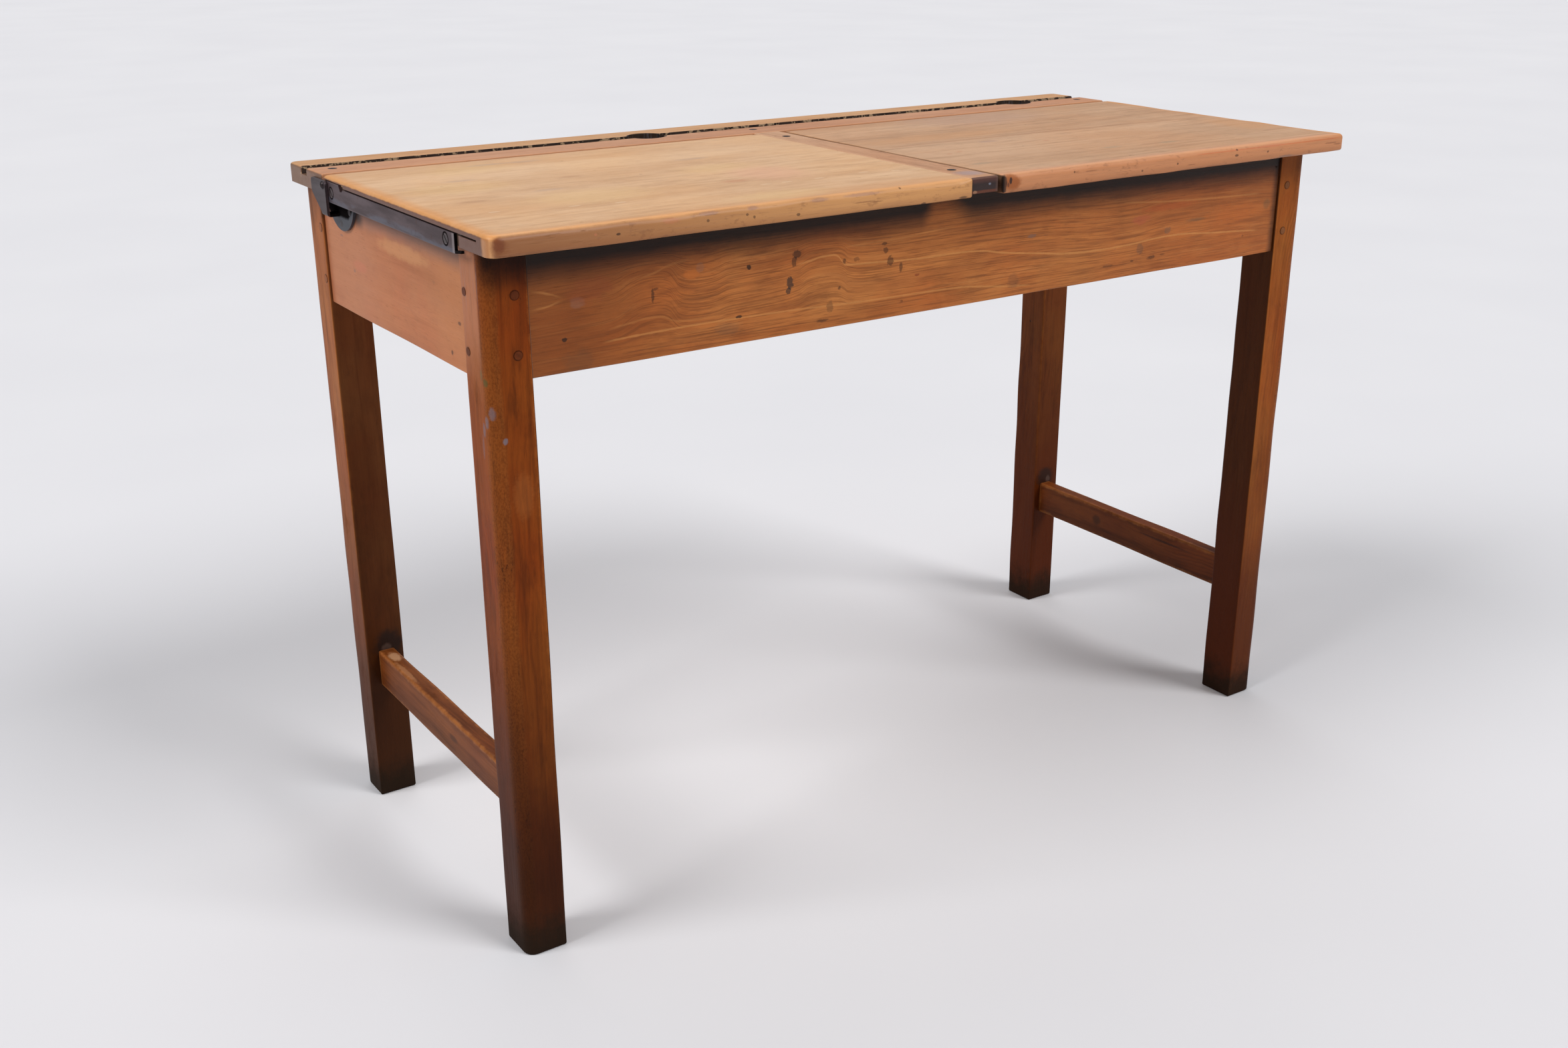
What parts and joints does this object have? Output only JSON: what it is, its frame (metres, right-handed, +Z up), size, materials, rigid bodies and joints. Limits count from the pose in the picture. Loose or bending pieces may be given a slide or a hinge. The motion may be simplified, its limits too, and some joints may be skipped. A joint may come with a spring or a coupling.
{
  "type": "double school desk",
  "caption": "Wooden school desk for a pair of pupils: square legs, deep aprons, flat top with side-hinged lids, pen groove and inkwell holes",
  "frame": {"origin": "on the floor under the middle of the top", "axes": "+X along the desk to the pupils' right, +Y away from the pupils, +Z up"},
  "size_m": [1.132, 0.515, 0.76],
  "materials": {
    "leg": "worn varnish, satin",
    "apron": "worn varnish, satin",
    "side_rail": "worn varnish, satin",
    "stretcher": "worn varnish, satin",
    "peg": "worn varnish, satin",
    "rear_board": "worn varnish, satin",
    "centre_strip": "worn varnish, satin",
    "lid_left": "worn varnish, satin",
    "lid_right": "worn varnish, satin",
    "compartment": "worn varnish, satin",
    "hinge_iron": "dark patinated wrought iron, satin",
    "screw_iron": "dark oxidised steel, satin",
    "pivot_steel": "worn steel, satin"
  },
  "bodies": {
    "frame": {"leg_front_left": "leg", "leg_front_right": "leg", "leg_back_left": "leg", "leg_back_right": "leg", "front_apron": "apron", "back_apron": "apron", "side_rail_left": "side_rail", "side_rail_right": "side_rail", "side_stretcher_left": "stretcher", "side_stretcher_right": "stretcher", "apron_pegs": "peg", "rail_pegs": "peg", "rear_board": "rear_board", "centre_strip": "centre_strip", "rear_board_screws": "screw_iron", "centre_strip_screws": "screw_iron", "centre_pivot_pin": "pivot_steel", "compartment_divider": "compartment", "floor_board_left": "compartment", "floor_board_right": "compartment", "floor_bearer_front_left": "compartment", "floor_bearer_front_right": "compartment", "floor_bearer_back_left": "compartment", "floor_bearer_back_right": "compartment", "bearer_nails": "screw_iron", "hinge_bracket_left": "hinge_iron", "hinge_bracket_right": "hinge_iron", "hinge_rivet_left": "pivot_steel", "hinge_rivet_right": "pivot_steel", "bracket_screws_left": "screw_iron", "bracket_screws_right": "screw_iron"},
    "left_lid": {"lid_left": "lid_left", "lid_strap_left": "hinge_iron", "strap_screws_left": "screw_iron"},
    "right_lid": {"lid_right": "lid_right", "lid_strap_right": "hinge_iron", "strap_screws_right": "screw_iron"}
  },
  "joints": [
    {"name": "left_lid_hinge", "type": "hinge", "parent": "frame", "child": "left_lid", "pos_m": [-0.56, 0.14365, 0.75015], "axis": [-1, 0, 0], "range_deg": [0, 94]},
    {"name": "right_lid_hinge", "type": "hinge", "parent": "frame", "child": "right_lid", "pos_m": [0.56, 0.14365, 0.75015], "axis": [-1, 0, 0], "range_deg": [0, 94]}
  ]
}
